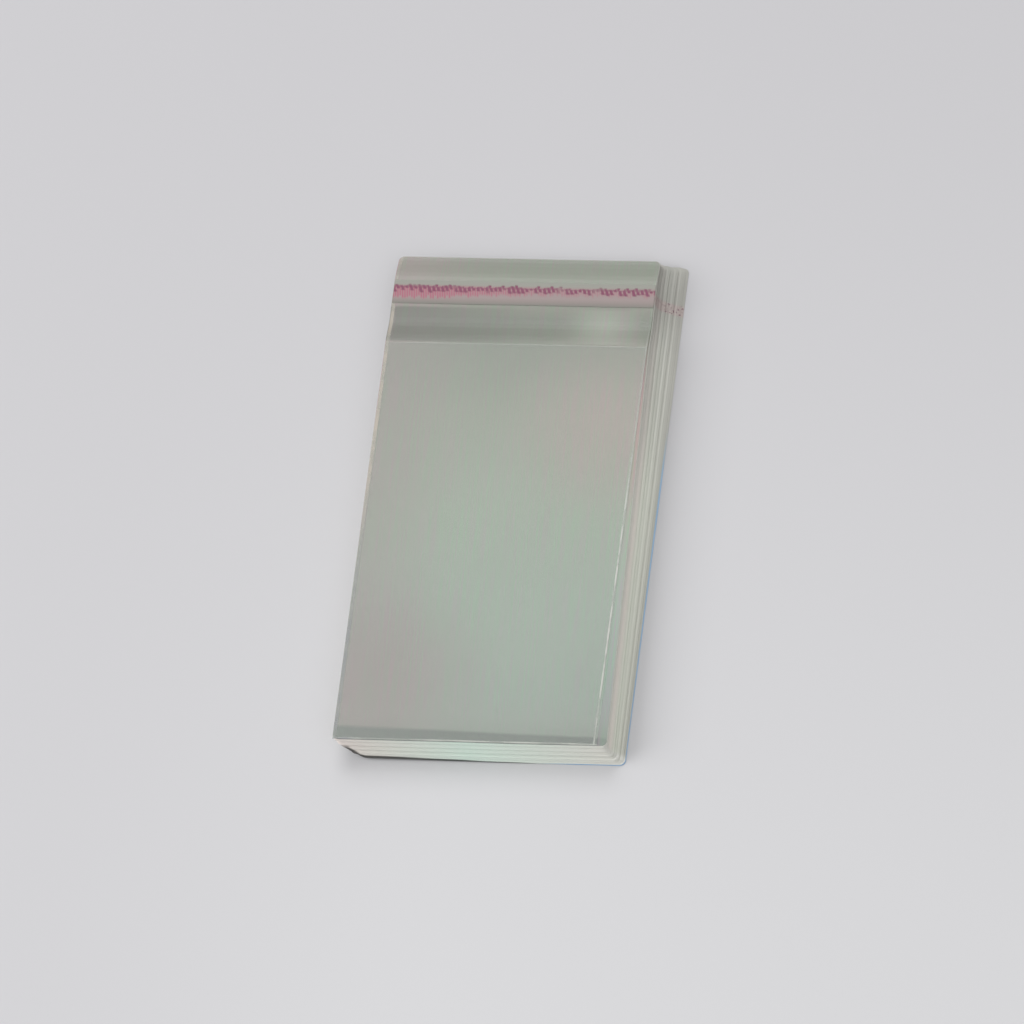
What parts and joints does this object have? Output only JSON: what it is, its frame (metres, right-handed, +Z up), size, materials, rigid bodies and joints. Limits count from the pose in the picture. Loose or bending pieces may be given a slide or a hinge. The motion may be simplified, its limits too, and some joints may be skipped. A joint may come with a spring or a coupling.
{
  "type": "pack of resealable plastic bags",
  "caption": "Flat leaning pack of clear film bags, each folded at the bottom with welded sides and a flap that seals by an adhesive strip under a peel-off liner.",
  "frame": {"origin": "middle of the pack's footprint, on the surface it rests on", "axes": "+X to the bags' right side, the way the lower bags have slid; +Y from the folded bottoms to the flaps; +Z up"},
  "size_m": [0.1136, 0.2132, 0.0123],
  "materials": {
    "bag_edges": "stacked clear film, silvery and glossy",
    "film": "clear glossy film",
    "adhesive": "tacky clear adhesive",
    "liner": null
  },
  "bodies": {
    "root": {"lower_bags": "bag_edges", "top_bag": "film", "adhesive_strip": "adhesive", "release_liner": "liner"}
  },
  "joints": []
}
